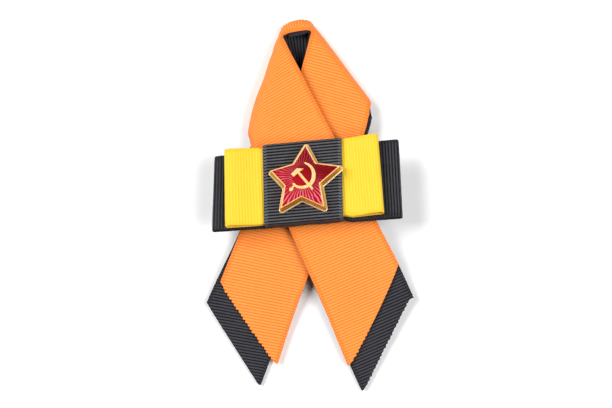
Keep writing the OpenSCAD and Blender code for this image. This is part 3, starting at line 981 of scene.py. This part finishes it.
@dataclass
class BowStack:
    """The two flat bow loops, one on the other."""

    weave: Grosgrain = Grosgrain(rows_per_rib=5)
    black: BowLoop = BowLoop(
        "black_bow_loop", "bow_black", Slot.BLACK, "black_loop_ribbon", half_l=30.0, width=24.6, fold_r=1.6,
        floor_z=9.7, x=0.0, y=3.45, turn_deg=4.8, left_lean=0.116, right_lean=0.037,
        low_edge=(0.07, -0.97), high_edge=(0.3, -0.3), held_rise=0.3, held_half_w=12.15)
    yellow: BowLoop = BowLoop(
        "yellow_bow_loop", "bow_yellow", Slot.YELLOW, "black_bow_loop", half_l=25.0, width=25.0, fold_r=1.8,
        floor_z=11.9, x=-1.0, y=4.6, turn_deg=5.4, left_lean=0.082, right_lean=0.019,
        low_edge=(-0.25, -0.6), high_edge=(0.25, -0.2), held_rise=-0.05, held_half_w=12.3)
    held_half: float = 1.05
    opens_past: float = 1.0
    held_inset: float = 1.0
    held_ease: float = 3.5
    skin: float = 0.1
    flat_steps: int = 240
    fold_steps: int = 80
    band_w: float = 25.0
    band_x: float = -1.0
    inner_columns: int = 14
    fold_power: float = 0.6

    def half(self, loop: BowLoop, x: np.ndarray) -> np.ndarray:
        """Half the thickness of a bow loop: flat under the band, and eased out to the fold's radius.

        Args:
            loop: the loop.
            x: places along it, from its middle.

        Returns:
            Half the thickness at each place.
        """
        opens = self.band_w / 2 + self.opens_past
        open_share = ease((np.abs(x) - opens) / (loop.half_l - loop.fold_r - opens))
        return self.held_half + (loop.fold_r - self.held_half) * open_share

    def floor(self, loop: BowLoop, x: np.ndarray) -> np.ndarray:
        """Height of a loop's underside. The black one's is level, and the yellow one rests on the black one.

        Args:
            loop: the loop.
            x: places along it, from its middle.

        Returns:
            The height at each place.
        """
        if loop is self.black:
            return np.full_like(np.asarray(x, dtype=float), loop.floor_z)
        under = x + loop.x - self.black.x
        return loop.floor_z + 2 * (self.half(self.black, under) - self.held_half)

    def section(self, loop: BowLoop) -> np.ndarray:
        """Outline of a bow loop in x and z: the top, the right fold, the underside and the left fold.

        A fold is a half circle whose sine and cosine are taken to a power below 1, which makes it squarer.

        Args:
            loop: the loop.

        Returns:
            The outline's points.
        """
        reach = loop.half_l - loop.fold_r
        x = np.linspace(-reach, reach, self.flat_steps, endpoint=False)
        turn = np.linspace(0.0, np.pi, self.fold_steps, endpoint=False)
        over = loop.fold_r * np.abs(np.sin(turn)) ** self.fold_power
        up = loop.fold_r * np.sign(np.cos(turn)) * np.abs(np.cos(turn)) ** self.fold_power
        top = np.stack([x, self.floor(loop, x) + 2 * self.half(loop, x)], axis=-1)
        right = np.stack([reach + over, self.floor(loop, reach) + loop.fold_r + up], axis=-1)
        low = np.stack([-x, self.floor(loop, -x)], axis=-1)
        left = np.stack([-reach - over, self.floor(loop, -reach) + loop.fold_r - up], axis=-1)
        return np.concatenate([top, right, low, left])

    def ring(self, loop: BowLoop) -> Surface:
        """A bow loop as a closed ring with ribs.

        The outline is measured out in ribs, a whole number of them, and carried across the ribbon. The strip
        is drawn in under the band, and each folded end leans by its own slant.

        Args:
            loop: the loop.

        Returns:
            The closed surface.
        """
        outline = self.section(loop)
        looped = np.concatenate([outline, outline[:1]])
        run = np.concatenate([[0.0], np.cumsum(np.linalg.norm(np.diff(looped, axis=0), axis=1))])
        ribs = round(run[-1] / self.weave.pitch)
        count = np.arange(ribs * self.weave.rows_per_rib) / self.weave.rows_per_rib
        at = count * run[-1] / ribs
        line = np.stack([np.interp(at, run, looped[:, k]) for k in range(2)], axis=-1)
        ahead = np.roll(line, -1, axis=0) - np.roll(line, 1, axis=0)
        ahead /= np.linalg.norm(ahead, axis=1)[:, None]
        out = np.stack([-ahead[:, 1], ahead[:, 0]], axis=-1)
        across = self.weave.columns(loop.width, self.inner_columns)
        rise = self.weave.rise(count[:, None], across[None, :], loop.width)
        sides = []
        for depth in (self.skin - rise, self.skin + self.weave.wall + rise):
            xz = line[:, None, :] - out[:, None, :] * depth[..., None]
            sides.append(self.placed(loop, xz, across).reshape(-1, 3))
        flat = self.weave.flat(count[:, None], across[None, :], loop.width)
        quads = grid_quads(len(line), len(across), wrap=True)[:, ::-1]
        return Surface.walled(sides[0], sides[1], [quads], flat)

    def placed(self, loop: BowLoop, xz: np.ndarray, across: np.ndarray) -> np.ndarray:
        """Carries a section across the ribbon and puts it on the brooch.

        Args:
            loop: the loop.
            xz: x and z for each row and column.
            across: the place across the ribbon of each column.

        Returns:
            The points.
        """
        x, z = xz[..., 0], xz[..., 1]
        off_middle = np.abs(x + loop.x - self.band_x)
        under = 1 - ease((off_middle - self.band_w / 2 + self.held_inset) / self.held_ease)
        share = (across / loop.width)[None, :]
        low, high = (off + more * x / loop.half_l for off, more in (loop.low_edge, loop.high_edge))
        v = (2 * share - 1) * (loop.width / 2 + (loop.held_half_w - loop.width / 2) * under)
        v += (low + (high - low) * share) * (1 - under)
        lean = np.where(x < 0, -loop.left_lean * x, loop.right_lean * x) / loop.half_l
        moved = x + v * lean
        c, n = direction(loop.turn_deg)
        y = loop.y + loop.held_rise * under + moved * n + v * c
        return np.stack([loop.x + moved * c - v * n, y, z], axis=-1)

    def build(self, yellow: bpy.types.Material, black: bpy.types.Material) -> list[bpy.types.Object]:
        """Args:
            yellow: the shorter loop's finish.
            black: the longer loop's finish.

        Returns:
            The two pieces.
        """
        pieces = []
        for loop, finish in ((self.black, black), (self.yellow, yellow)):
            piece = self.ring(loop).build(loop.name)
            hand_over(piece, finish, loop.slot, loop.node)
            pieces.append(piece)
        return pieces


@dataclass
class CentreBand:
    """The black ribbon wrapped round the bow's middle."""

    weave: Grosgrain = Grosgrain(pitch=1.0, rows_per_rib=6)
    width: float = 25.2
    height: float = 26.7
    corner_r: float = 1.1
    low: float = 8.6
    high: float = 15.1
    x: float = -1.0
    y: float = 4.44
    turn_deg: float = 1.0
    low_slant_deg: float = 2.7
    high_slant_deg: float = 3.1
    lean: float = 0.3
    inner_columns: int = 16
    skin: float = 0.1
    wave: float = 0.1
    wave_per_mm: float = 0.55
    wave_start: float = 1.0

    def section(self) -> tuple[np.ndarray, np.ndarray]:
        """The rounded outline in y and z, with its normals, in equal steps of the rib count.

        It is four straight sides and four quarter rounds. It starts in the middle of the underside and runs
        up the lower edge, over the front and down behind the upper edge.

        Returns:
            The outline's points, and the normal at each.
        """
        straight_y = self.height - 2 * self.corner_r
        straight_z = self.high - self.low - 2 * self.corner_r
        arc = math.pi * self.corner_r / 2
        around = 2 * (straight_y + straight_z) + 4 * arc
        ribs = round(around / self.weave.pitch)
        at = np.arange(ribs * self.weave.rows_per_rib) / (ribs * self.weave.rows_per_rib) * around
        half_y, half_z = straight_y / 2, straight_z / 2
        knots = np.cumsum([0, half_y, arc, straight_z, arc, straight_y, arc, straight_z, arc, half_y])
        turns = np.array([-90, -90, -180, -180, -270, -270, -360, -360, -450, -450.0])
        angle = np.radians(np.interp(at, knots, turns))
        core_y = np.interp(at, knots, half_y * np.array([0, -1, -1, -1, -1, 1, 1, 1, 1, 0]))
        core_z = np.interp(at, knots, half_z * np.array([-1, -1, -1, 1, 1, 1, 1, -1, -1, -1]))
        normal = np.stack([np.cos(angle), np.sin(angle)], axis=-1)
        core = np.stack([core_y, core_z + (self.low + self.high) / 2], axis=-1)
        return core + self.corner_r * normal, normal

    def build(self, black: bpy.types.Material) -> bpy.types.Object:
        """Carries the outline along the band's width.

        Its lower and upper edges each have their own slant, with the height between them shared out evenly,
        and the lower wall leans in towards its foot. A sine along the band makes that wall wavy.

        Args:
            black: the band's finish.

        Returns:
            The piece.
        """
        line, normal = self.section()
        steps = self.weave.rows_per_rib
        count = np.arange(len(line)) / steps
        across = self.weave.columns(self.width, self.inner_columns)
        rise = self.weave.rise(count[:, None], across[None, :], self.width)
        x = (self.width / 2 - across)[None, :] + np.zeros_like(rise)
        c, n = direction(self.turn_deg)
        low_slope = math.tan(math.radians(self.low_slant_deg))
        high_slope = math.tan(math.radians(self.high_slant_deg))
        below = np.clip(-normal[:, 0], 0, 1)[:, None]
        waves = self.wave * np.sin(x * self.wave_per_mm + self.wave_start) * below
        sides = []
        for depth in (self.skin - rise, self.skin + self.weave.wall + rise):
            yz = line[:, None, :] - normal[:, None, :] * (depth + waves)[..., None]
            share = yz[..., 0] / self.height + 0.5
            deep = (self.high - yz[..., 1]) / (self.high - self.low)
            slope = low_slope + (high_slope - low_slope) * share
            y = yz[..., 0] + x * slope + self.lean * deep * (1 - share)
            points = np.stack([self.x + x * c - y * n, self.y + x * n + y * c, yz[..., 1]], axis=-1)
            sides.append(points.reshape(-1, 3))
        flat = self.weave.flat(count[:, None], across[None, :], self.width)
        quads = grid_quads(len(line), len(across), wrap=True)
        piece = Surface.walled(sides[0], sides[1], [quads], flat).build("wrapped_band")
        hand_over(piece, black, Slot.BLACK, "centre_band")
        return piece


@dataclass
class CastStar:
    """The cast star: swept side walls, a thin rim, enamel inside it, and a raised sickle and hammer.

    Each corner is a radius and an angle. Each of the figure's bars is its start, its end, its widths, how far
    it stands over the enamel, and whether it is rounded. A profile's points are shares of its half width or
    size and of its height.
    """

    x: float = -0.25
    y: float = 4.24
    low: float = 15.2
    height: float = 3.1
    spread: float = 0.9
    rim_w: float = 0.28
    bead: float = 0.15
    corners: tuple = ((11.45, 88.0), (6.15, 124.8), (11.15, 164.5), (6.5, 197.9), (12.0, 231.8),
                      (5.77, 260.7), (11.2, 304.6), (5.26, 344.1), (12.05, 379.5), (6.37, 415.0))
    point_r: float = 0.12
    floor_drop: float = 0.9
    enamel_drop: float = 0.16
    enamel_gap: float = 0.01
    skirt: float = 0.5
    dome: float = 0.10
    climb: float = 0.09
    climb_from: float = 0.93
    edge_shares: tuple = (1.0, 0.985, 0.97, 0.94)
    face_shares: tuple = (0.9, 0.05, 18)
    under_share: float = 0.4
    wall_shares: tuple = (0.08, 0.9, 14)
    slant_part: float = 0.6
    sweep_part: float = 0.4
    foot_bevel: tuple = (0.04, 0.05)
    foot_h: float = 0.24
    bead_lap: float = 0.03
    bead_out: float = 0.06
    bead_steps: int = 10
    recess_lap: float = 0.05
    brushed_drop: float = 0.12
    # Height of the painted highlight at the foot of the star's walls.
    foot_highlight_h: float = 0.45
    relief_lift: float = 0.08
    relief_x: float = -0.555
    relief_y: float = 1.125
    edge_steps: int = 12
    round_steps: int = 8
    flat_half: tuple = ((1.0, -1.2), (1.0, 0.5), (0.96, 0.84), (0.84, 1.0), (0.72, 1.0))
    round_half: tuple = ((1.0, -1.2), (0.97, 0.3), (0.85, 0.6), (0.6, 0.85), (0.3, 0.97))
    blade_r: float = 4.27
    blade_stretch: tuple = (1.0, 1.03)
    blade_angles: tuple = (-131, -112, -84, -53, -25, 0, 33, 54, 74, 83)
    blade_widths: tuple = (0.66, 0.82, 1.02, 1.12, 1.25, 1.28, 1.0, 0.78, 0.5, 0.14)
    blade_steps: int = 56
    blade_high: tuple = ((0.1, 1.0), (0.24, 0.48))
    bar_least: float = 0.4
    block_profile: tuple = ((1.0, -0.4), (1.0, 0.6), (0.98, 0.86), (0.92, 1.0), (0.84, 1.0))
    bars: tuple = (((-3.0, -2.55), (-2.15, -3.25), (0.45, 0.62, 0.66, 0.62, 0.45), 0.5, False),
                   ((-2.6, -2.95), (-3.2, -3.9), (0.62, 0.56, 0.6), 0.44, True),
                   ((-3.0, -3.65), (-4.0, -5.0), (0.5, 0.95, 1.2, 1.3, 1.26, 1.05, 0.5), 0.64, True),
                   ((-1.35, 1.12), (3.3, -4.6), (0.86, 0.86, 0.88, 0.88, 0.88, 0.84, 0.8), 0.55, False))
    head: tuple = ((-3.62, 0.53), (-2.81, -0.39), (-1.08, 1.12), (0.44, 2.23), (-1.79, 2.42))
    head_h: float = 0.62

    def outline(self, out: np.ndarray) -> np.ndarray:
        """The star's outline at distances outside its face's edge, or inside it where they are below 0.

        The face's corners each have their own radius and angle, as the star is cast a little askew. An inner
        corner moves along the bisector so that both of its sides move out by the distance. At a point the
        outline is an arc, whose radius grows by the distance as well, and the sides between are straight.

        Args:
            out: the distances.

        Returns:
            Points in x and y, for each place round the star and each distance.
        """
        radius, angle = np.array(self.corners).T
        corner = direction(angle) * radius[:, None]
        way = np.roll(corner, -1, axis=0) - corner
        way /= np.linalg.norm(way, axis=1)[:, None]
        after = np.stack([way[:, 1], -way[:, 0]], axis=-1)
        before = np.roll(after, 1, axis=0)
        mitre = (before + after) / (1 + (before * after).sum(axis=1))[:, None]
        round_r = self.point_r + np.maximum(out, 0.0)
        start = np.degrees(np.arctan2(before[::2, 1], before[::2, 0]))
        bend = (np.degrees(np.arctan2(after[::2, 1], after[::2, 0])) - start) % 360
        turn = direction(start[:, None] + bend[:, None] * np.linspace(0, 1, self.round_steps + 1))
        centre = corner[::2, None] + (out - round_r)[None, :, None] * mitre[::2, None]
        arc = centre[:, None] + round_r[None, None, :, None] * turn[:, :, None]
        inner = (corner[1::2, None] + out[None, :, None] * mitre[1::2, None])[:, None]
        f = np.linspace(0, 1, self.edge_steps + 1)[None, 1:, None, None]
        down = arc[:, -1:] * (1 - f) + inner * f
        rest = f[:, :-1]
        up = inner * (1 - rest) + np.roll(arc[:, :1], -1, axis=0) * rest
        return np.concatenate([arc, down, up], axis=1).reshape(-1, len(out), 2)

    def swept(self, profile: np.ndarray) -> Surface:
        """Carries a profile round the star and closes it over the star's middle at both ends.

        The flat coordinates hold the direction in which a place on the outline faces.

        Args:
            profile: for each point how far out from the face's edge it lies, a share that draws it in towards
                the middle, and its height, from below over the outside to the top.

        Returns:
            The closed surface.
        """
        xy = self.outline(profile[:, 0]) * profile[None, :, 1, None]
        z = np.broadcast_to(profile[None, :, 2, None], (*xy.shape[:2], 1))
        rows, cols = xy.shape[:2]
        ends = np.array([[0.0, 0.0, profile[0, 2]], [0.0, 0.0, profile[-1, 2]]])
        points = np.concatenate([np.concatenate([xy, z], axis=-1).reshape(-1, 3), ends])
        points += np.array([self.x, self.y, self.low])
        ring = np.arange(rows) * cols
        after = np.roll(ring, -1)
        below = np.stack([after, ring, np.full_like(ring, rows * cols)], axis=-1)
        above = np.stack([ring, after, np.full_like(ring, rows * cols + 1)], axis=-1)
        above[:, :2] += cols - 1
        edge = xy[:, np.argmax(profile[:, 0])]
        ahead = np.roll(edge, -1, axis=0) - np.roll(edge, 1, axis=0)
        ahead /= np.linalg.norm(ahead, axis=1)[:, None]
        outward = np.stack([ahead[:, 1], -ahead[:, 0]], axis=-1)
        flat = np.concatenate([np.repeat(outward, cols, axis=0), np.zeros((2, 2))])
        return Surface(points, [grid_quads(rows, cols, wrap=True), below, above], flat)

    def frame_surface(self) -> Surface:
        """The cast body: walls that sweep out to a narrow foot, the rim, and the recess inside it.

        The sweep's distance out is the spread times 0.6 of how far down the wall it is and 0.4 of the fourth
        power of that. The rim is a bead, half an ellipse in section.

        Returns:
            The closed surface.
        """
        top = self.height
        down = np.linspace(*self.wall_shares)
        sweep = self.spread * (self.slant_part * down + self.sweep_part * down ** 4)
        wall = np.stack([sweep, np.ones_like(down), top * (1 - down)], axis=-1)[::-1]
        back, up = self.foot_bevel
        foot = [[0.0, self.under_share, 0.0], [self.spread - back, 1.0, 0.0], [self.spread, 1.0, up],
                [self.spread, 1.0, self.foot_h]]
        turn = np.linspace(-0.15 * np.pi, np.pi, self.bead_steps)
        half_w = self.rim_w / 2 + self.bead_lap
        bead = np.stack([half_w * np.cos(turn) + self.bead_out - half_w, np.ones_like(turn),
                         top - self.bead + self.bead * np.sin(turn)], axis=-1)
        inside, floor = -self.rim_w - self.recess_lap, top - self.floor_drop
        recess = [[inside, 1.0, floor], [inside, self.under_share, floor]]
        return self.swept(np.concatenate([foot, wall, bead, recess]))

    def enamel_surface(self) -> Surface:
        """The enamel, from its flat underside up a skirt and over the face, which climbs the rim at its edge.

        The face rises to the middle by one less the squared share of the way out.

        Returns:
            The closed surface.
        """
        share = np.concatenate([self.edge_shares, np.linspace(*self.face_shares)])
        top = self.height - self.enamel_drop
        climbed = np.clip((share - self.climb_from) / (1 - self.climb_from), 0, 1)
        z = top + self.dome * (1 - share ** 2) + self.climb * climbed ** 2
        out = np.full_like(share, self.enamel_gap - self.rim_w)
        face = np.stack([out, share, z], axis=-1)
        under = [[out[0], self.under_share, top - self.skirt], [out[0], 1.0, top - self.skirt]]
        return self.swept(np.concatenate([under, face]))

    def on_enamel(self, xy: np.ndarray, up: np.ndarray) -> np.ndarray:
        """Puts points of the figure on the enamel.

        Args:
            xy: their places about the figure's middle.
            up: their heights over the enamel.

        Returns:
            The points.
        """
        level = self.low + self.height - self.enamel_drop + self.relief_lift
        z = np.broadcast_to(level + up, xy.shape[:-1])
        middle = np.array([self.x + self.relief_x, self.y + self.relief_y])
        return np.concatenate([xy + middle, z[..., None]], axis=-1)

    def ridge(self, path: np.ndarray, half_w: np.ndarray, high: np.ndarray, rounded: bool = False) -> Surface:
        """A raised bar: half a profile and its mirror image, carried along a path.

        Args:
            path: points of its middle line, about the figure's middle.
            half_w: half its width at each point.
            high: how far it stands over the enamel at each point.
            rounded: whether the top is round, or flat with a narrow bevel.

        Returns:
            The closed surface, whose foot is in the enamel.
        """
        half = self.round_half if rounded else self.flat_half
        across, up = np.array([*half, *[(-a, u) for a, u in half[::-1]]]).T
        ahead = np.gradient(path, axis=0)
        ahead /= np.linalg.norm(ahead, axis=1)[:, None]
        side = np.stack([ahead[:, 1], -ahead[:, 0]], axis=-1)
        xy = path[:, None, :] + side[:, None, :] * (half_w[:, None] * across[None, :])[..., None]
        points = self.on_enamel(xy, high[:, None] * up[None, :])
        rows, cols = xy.shape[:2]
        quads = grid_quads(rows, cols)
        ends = [np.arange(cols)[None, :], (np.arange(cols) + (rows - 1) * cols)[None, ::-1]]
        j = np.arange(rows - 1) * cols
        under = np.stack([j, j + cols - 1, j + 2 * cols - 1, j + cols], axis=-1)
        return Surface(points.reshape(-1, 3), [quads, under, *ends], np.zeros((rows * cols, 2)))

    def bar(self, start: tuple, end: tuple, widths: tuple, high: float, rounded: bool) -> Surface:
        """A straight ridge, whose height thins with its width.

        Args:
            start: where it starts, about the figure's middle.
            end: where it ends.
            widths: its widths at equal steps along it.
            high: how far it stands over the enamel where it is widest.
            rounded: as for ridge.

        Returns:
            The closed surface.
        """
        f = np.linspace(0, 1, len(widths))[:, None]
        width = np.array(widths)
        tall = high * (self.bar_least + (1 - self.bar_least) * width / width.max())
        return self.ridge(np.array(start) * (1 - f) + np.array(end) * f, width / 2, tall, rounded)

    def block(self, corners: np.ndarray, high: float) -> Surface:
        """A raised block with upright sides, a narrow bevel and a flat top.

        Args:
            corners: its outline about the figure's middle, anticlockwise.
            high: how far it stands over the enamel.

        Returns:
            The closed surface.
        """
        middle = corners.mean(axis=0)
        size, up = np.array(self.block_profile).T
        xy = middle + (corners - middle)[:, None, :] * size[None, :, None]
        points = self.on_enamel(xy, (up * high)[None, :])
        rows, cols = xy.shape[:2]
        ring = np.arange(rows) * cols
        ends = [ring[None, ::-1], (ring + cols - 1)[None, :]]
        quads = grid_quads(rows, cols, wrap=True)
        return Surface(points.reshape(-1, 3), [quads, *ends], np.zeros((rows * cols, 2)))

    def relief_surface(self) -> Surface:
        """The sickle and the hammer.

        The sickle is a blade on an arc with a collar, a neck and a knob, and the hammer is a shaft and an
        angular head.

        Returns:
            The closed surface.
        """
        angle = np.linspace(self.blade_angles[0], self.blade_angles[-1], self.blade_steps)
        width = np.interp(angle, self.blade_angles, self.blade_widths)
        arc = direction(angle) * (self.blade_r - width / 2)[:, None] * np.array(self.blade_stretch)
        blade = self.ridge(arc, width / 2, np.interp(width, *self.blade_high))
        bars = [self.bar(*plan) for plan in self.bars]
        return blade.joined(*bars, self.block(np.array(self.head), self.head_h))

    def build(self, gilt: GiltFinish, enamel: EnamelFinish) -> list[bpy.types.Object]:
        """Builds the cast body with the relief, and the enamel.

        Args:
            gilt: the metal's finish.
            enamel: the enamel's finish.

        Returns:
            The two pieces.
        """
        body = self.frame_surface().joined(self.relief_surface()).build("cast_star", sharp_deg=50.0)
        hand_over(body, gilt.material(), Slot.GILT, "star_frame")
        fill = self.enamel_surface().build("star_enamel_fill", sharp_deg=60.0)
        hand_over(fill, enamel.material(), Slot.ENAMEL, "star_enamel")
        return [body, fill]


@dataclass
class Studio:
    """The pale floor, the soft lights and the camera at the photo's angle."""

    px_per_mm: float = 3.14
    target: tuple = (-0.75, -0.66, 6.0)
    lean_right: float = 0.084
    lean_down: float = 0.259
    distance_mm: float = 3000.0
    sensor_mm: float = 36.0
    floor_reach: float = 3.0
    floor_under: float = 0.0002
    light_size: float = 0.8
    left_light: tuple = (-0.75, 0.2, 0.95)
    left_watts: float = 16.0
    right_light: tuple = (0.75, -0.3, 0.95)
    right_watts: float = 14.5
    horizon: float = 3.0
    zenith: float = 0.5
    side_gain: float = 1.3
    side_least: float = 0.35

    def camera(self) -> None:
        """A long lens, leaning a little to the right of straight down and towards the tails."""
        scene = bpy.context.scene
        data = bpy.data.cameras.new("camera")
        data.sensor_width = self.sensor_mm
        data.lens = self.sensor_mm * self.distance_mm * self.px_per_mm / PHOTO_W
        data.clip_start, data.clip_end = 0.01, 20.0
        camera = bpy.data.objects.new("camera", data)
        scene.collection.objects.link(camera)
        rise = math.sqrt(1 - self.lean_right ** 2 - self.lean_down ** 2)
        back = Vector((self.lean_right, -self.lean_down, rise))
        right = Vector((1.0, 0.0, -back.x / back.z)).normalized()
        up = back.cross(right).normalized()
        right = up.cross(back).normalized()
        turn = Matrix((right, up, back)).transposed().to_4x4()
        camera.matrix_world = Matrix.Translation((Vector(self.target) + back * self.distance_mm) * MM) @ turn
        scene.camera = camera

    def floor(self) -> None:
        """A wide pale floor under the brooch."""
        mesh = bpy.data.meshes.new("floor")
        reach, level = self.floor_reach, CAD_BOX[0][2] - self.floor_under
        mesh.from_pydata([(-reach, -reach, level), (reach, -reach, level), (reach, reach, level),
                          (-reach, reach, level)], [], [(0, 1, 2, 3)])
        floor = bpy.data.objects.new("floor", mesh)
        bpy.context.scene.collection.objects.link(floor)
        s = Shader("pale floor")
        s.set(Base_Color=(1.0, 1.0, 1.0, 1.0), Roughness=0.9, Specular_IOR_Level=0.1)
        floor.data.materials.append(s.material)

    def light(self, name: str, place: tuple, watts: float) -> None:
        """An area light that faces the brooch.

        Args:
            name: its name.
            place: where it is, in metres.
            watts: its power.
        """
        data = bpy.data.lights.new(name, "AREA")
        data.size, data.energy = self.light_size, watts
        lamp = bpy.data.objects.new(name, data)
        bpy.context.scene.collection.objects.link(lamp)
        spot = Vector(place)
        lamp.matrix_world = Matrix.Translation(spot) @ spot.to_track_quat("Z", "Y").to_matrix().to_4x4()

    def build(self) -> None:
        """Sets the whole studio up."""
        self.camera()
        self.floor()
        self.light("left light", self.left_light, self.left_watts)
        self.light("right light", self.right_light, self.right_watts)
        self.room()
        bpy.context.scene.view_settings.view_transform = "Standard"

    def room(self) -> None:
        """A world that is bright at both sides and dim overhead, so that glossy tops stay deep.

        From the horizon up the light falls off evenly, and round the horizon it goes with the squared X.
        """
        world = bpy.data.worlds.new("soft room")
        world.use_nodes = True
        nodes, links = world.node_tree.nodes, world.node_tree.links
        way = nodes.new("ShaderNodeTexCoord")
        parted = nodes.new("ShaderNodeSeparateXYZ")
        links.new(way.outputs["Generated"], parted.inputs[0])
        steps = [("MULTIPLY", parted.outputs[0], parted.outputs[0]),
                 ("MULTIPLY_ADD", None, self.side_gain),
                 ("MULTIPLY", None, self.horizon), ("ADD", None, self.zenith)]
        last = None
        for operation, first, second in steps:
            node = nodes.new("ShaderNodeMath")
            node.operation = operation
            links.new(first or last, node.inputs[0])
            if isinstance(second, float):
                node.inputs[1].default_value = second
            else:
                links.new(second, node.inputs[1])
            node.inputs[2].default_value = self.side_least
            last = node.outputs[0]
        level = nodes.new("ShaderNodeMix")
        links.new(parted.outputs[2], level.inputs[0])
        links.new(last, level.inputs[2])
        level.inputs[3].default_value = self.zenith
        links.new(level.outputs[0], nodes["Background"].inputs["Strength"])
        bpy.context.scene.world = world


def main() -> None:
    """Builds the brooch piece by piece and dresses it."""
    logging.basicConfig(level=logging.INFO, format="%(name)s: %(message)s")
    Studio().build()
    # Each ribbon's second colour is the painted shade of its rib valleys and its third the painted highlight
    # of its rib tops; a higher line narrows that highlight to a thin line.
    orange = RibbonFinish("orange grosgrain", srgb(242, 104, 22), srgb(246, 151, 64),
                          srgb(244, 142, 56), line=1.0)
    yellow = RibbonFinish("yellow grosgrain", srgb(240, 188, 28), srgb(240, 206, 58),
                          srgb(240, 202, 50))
    plain = RibbonFinish("black grosgrain", srgb(12, 12, 14), srgb(66, 66, 72),
                         srgb(62, 62, 68), line=1.6, specular=0.06, sheen=0.0)
    ribbed = RibbonFinish("black band grosgrain", srgb(5, 5, 6), srgb(90, 90, 95),
                          srgb(106, 106, 111), line=3.0, specular=0.08, sheen=0.0)
    black = plain.material()
    LoopRibbon().build(orange.material(), black)
    BowStack().build(yellow.material(), black)
    CentreBand().build(ribbed.material())
    star = CastStar()
    middle = (star.x + star.relief_x, star.y + star.relief_y, 0.0)
    gilt = GiltFinish(star.low + star.height - star.brushed_drop, star.low + star.foot_highlight_h)
    star.build(gilt, EnamelFinish(middle))
    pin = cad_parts["brooch_pin"]
    pin.data.materials.clear()
    pin.data.materials.append(SteelFinish().material())
    log.info("brooch_pin: kept, in satin nickel")


if __name__ == "__main__":
    main()
